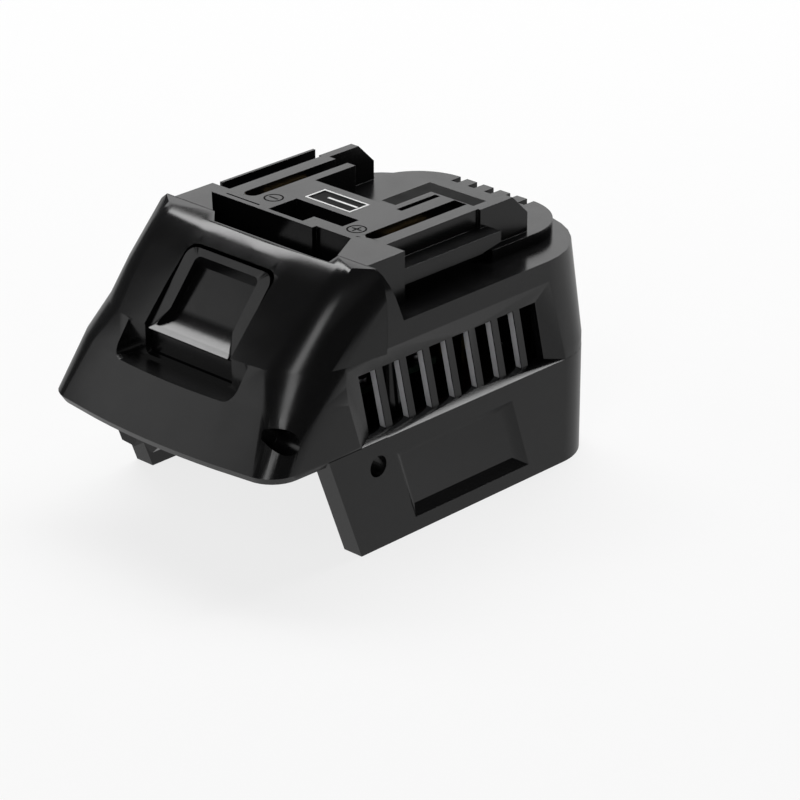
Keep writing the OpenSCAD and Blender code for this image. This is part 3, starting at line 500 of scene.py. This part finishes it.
class ADAPTER_OT_marks(bpy.types.Operator):
    """Sets the polarity marks and the pale window outline on the block top"""

    bl_idname = "adapter.marks"
    bl_label = "Marks"

    def execute(self, context):
        dark = surface("mark_black", colours().mark, rough=0.7, grain=2400, shine=0.05)
        pale = surface("window_pale", colours().pale, rough=0.5, grain=2400, vary=0.04)
        for name, middle, plus in POLARITY_MARKS:
            self.polarity(name, middle, plus, dark)
        self.window(pale)
        return {"FINISHED"}

    def mark(self, name, outline, holes, material):
        """A thin mark on the block top."""
        size = sizes()
        plate = flat(name, outline, holes, size.top_z - MARK_ROOT, size.top_z + size.mark_lift)
        new_piece(name, plate, HOUSING, material)

    def polarity(self, name, middle, plus, material):
        """A ring with a minus or a plus in it."""
        size = sizes()
        x, y = middle
        hole = circle(x, y, size.mark_radius - size.mark_line)
        self.mark(name + "_ring", circle(x, y, size.mark_radius), [hole], material)
        reach = size.mark_radius * SIGN_REACH
        half = size.mark_line / 2
        bars = [rectangle(x - reach, y - half, x + reach, y + half)]
        if plus:
            bars.append(rectangle(x - half, y + half, x + half, y + reach))
            bars.append(rectangle(x - half, y - reach, x + half, y - half))
        for i, bar in enumerate(bars):
            self.mark(f"{name}_bar_{i}", bar, [], material)

    def window(self, material):
        """The pale outline round the window plate, and the bar on it."""
        size = sizes()
        lo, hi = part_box("window_plate")
        wide = size.outline_width
        outer = rectangle(lo.x - wide, lo.y - wide, hi.x + wide, hi.y + wide)
        self.mark("window_outline", outer, [rectangle(lo.x, lo.y, hi.x, hi.y)], material)
        x = (lo.x + hi.x) / 2 + BAR_SHIFT[0]
        y = (lo.y + hi.y) / 2 + BAR_SHIFT[1]
        long, wide = size.bar_length / 2, size.bar_width / 2
        outline = rectangle(x - long, y - wide, x + long, y + wide)
        bar = flat("window_bar", outline, [], hi.z - BAR_ROOT, hi.z + size.mark_lift)
        new_piece("window_bar", bar, HOUSING, material)


class ADAPTER_OT_stage(bpy.types.Operator):
    """Lays the pale floor, the soft studio lights and the camera at the photo's angle"""

    bl_idname = "adapter.stage"
    bl_label = "Stage"

    def execute(self, context):
        self.floor()
        for box in SOFT_BOXES:
            self.soft_box(*box)
        world = bpy.data.worlds.new("studio")
        world.use_nodes = True
        world.node_tree.nodes["Background"].inputs["Color"].default_value = WORLD_GREY
        context.scene.world = world
        context.scene.view_settings.view_transform = "Standard"
        self.camera(context)
        return {"FINISHED"}

    def floor(self):
        """A wide plain floor that the camera sees as white paper."""
        work = bmesh.new()
        bmesh.ops.create_grid(work, x_segments=1, y_segments=1, size=FLOOR_HALF)
        made = placed("floor", as_mesh("floor", work))
        paper = surface("paper", colours().floor, rough=0.9, grain=300, height=PAPER_GRAIN, vary=0.01)
        tree = paper.node_tree
        shader = tree.nodes["Principled BSDF"]
        seen = tree.nodes.new("ShaderNodeLightPath")
        mirrored = add_node(tree, "ShaderNodeEmission", Strength=sizes().floor_mirrored)
        white = add_node(tree, "ShaderNodeEmission", Strength=1.0)
        part = tree.nodes.new("ShaderNodeMath")
        part.operation = "MULTIPLY"
        part.inputs[1].default_value = FLOOR_WHITE
        join(tree, seen.outputs["Is Camera Ray"], part.inputs[0])
        glossy = tree.nodes.new("ShaderNodeMixShader")
        join(tree, seen.outputs["Is Glossy Ray"], glossy.inputs["Fac"])
        join(tree, shader.outputs["BSDF"], glossy.inputs[1])
        join(tree, mirrored.outputs["Emission"], glossy.inputs[2])
        blend = tree.nodes.new("ShaderNodeMixShader")
        join(tree, part.outputs["Value"], blend.inputs["Fac"])
        join(tree, glossy.outputs["Shader"], blend.inputs[1])
        join(tree, white.outputs["Emission"], blend.inputs[2])
        join(tree, blend.outputs["Shader"], tree.nodes["Material Output"].inputs["Surface"])
        made.data.materials.append(paper)

    def aimed(self, place, look):
        """The matrix of a lamp or camera at a place, looking along a direction."""
        return Matrix.Translation(place) @ look.to_track_quat("-Z", "Y").to_matrix().to_4x4()

    def soft_box(self, name, place, target, wide, tall, power):
        """A rectangular lamp turned to a target."""
        lamp = bpy.data.lights.new(name, "AREA")
        lamp.shape = "RECTANGLE"
        lamp.size = wide
        lamp.size_y = tall
        lamp.energy = power
        made = placed(name, lamp)
        made.matrix_world = self.aimed(place, Vector(target) - Vector(place))

    def camera(self, context):
        """The camera that was fitted to the photo."""
        lens = bpy.data.cameras.new("photo_camera")
        lens.lens = CAMERA_LENS
        lens.sensor_width = CAMERA_SENSOR
        lens.shift_x, lens.shift_y = CAMERA_SHIFT
        lens.clip_start = CAMERA_NEAR
        made = placed("photo_camera", lens)
        made.matrix_world = self.aimed(CAMERA_PLACE, Vector(CAMERA_LOOK))
        context.scene.camera = made


class ADAPTER_PT_panel(bpy.types.Panel):
    """Sizes, colours and steps of the adapter"""

    bl_idname = "ADAPTER_PT_panel"
    bl_label = "Battery adapter"
    bl_space_type = "VIEW_3D"
    bl_region_type = "UI"
    bl_category = "Adapter"

    def draw(self, context):
        for group in (context.scene.adapter_sizes, context.scene.adapter_colours):
            box = self.layout.box()
            for key in group.__annotations__:
                box.prop(group, key)
        for step in STEPS:
            self.layout.operator(step.bl_idname)


STEPS = (
    ADAPTER_OT_shells,
    ADAPTER_OT_block,
    ADAPTER_OT_latch,
    ADAPTER_OT_metal,
    ADAPTER_OT_electronics,
    ADAPTER_OT_springs,
    ADAPTER_OT_marks,
    ADAPTER_OT_stage,
)
CLASSES = (AdapterSizes, AdapterColours) + STEPS + (ADAPTER_PT_panel,)


def register():
    for one in CLASSES:
        bpy.utils.register_class(one)
    bpy.types.Scene.adapter_sizes = bpy.props.PointerProperty(type=AdapterSizes)
    bpy.types.Scene.adapter_colours = bpy.props.PointerProperty(type=AdapterColours)


def unregister():
    del bpy.types.Scene.adapter_colours
    del bpy.types.Scene.adapter_sizes
    for one in reversed(CLASSES):
        bpy.utils.unregister_class(one)


def main():
    register()
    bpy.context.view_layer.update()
    bpy.ops.adapter.shells()
    bpy.ops.adapter.block()
    bpy.ops.adapter.latch()
    bpy.ops.adapter.metal()
    bpy.ops.adapter.electronics()
    bpy.ops.adapter.springs()
    bpy.ops.adapter.marks()
    bpy.ops.adapter.stage()


if __name__ == "__main__":
    main()
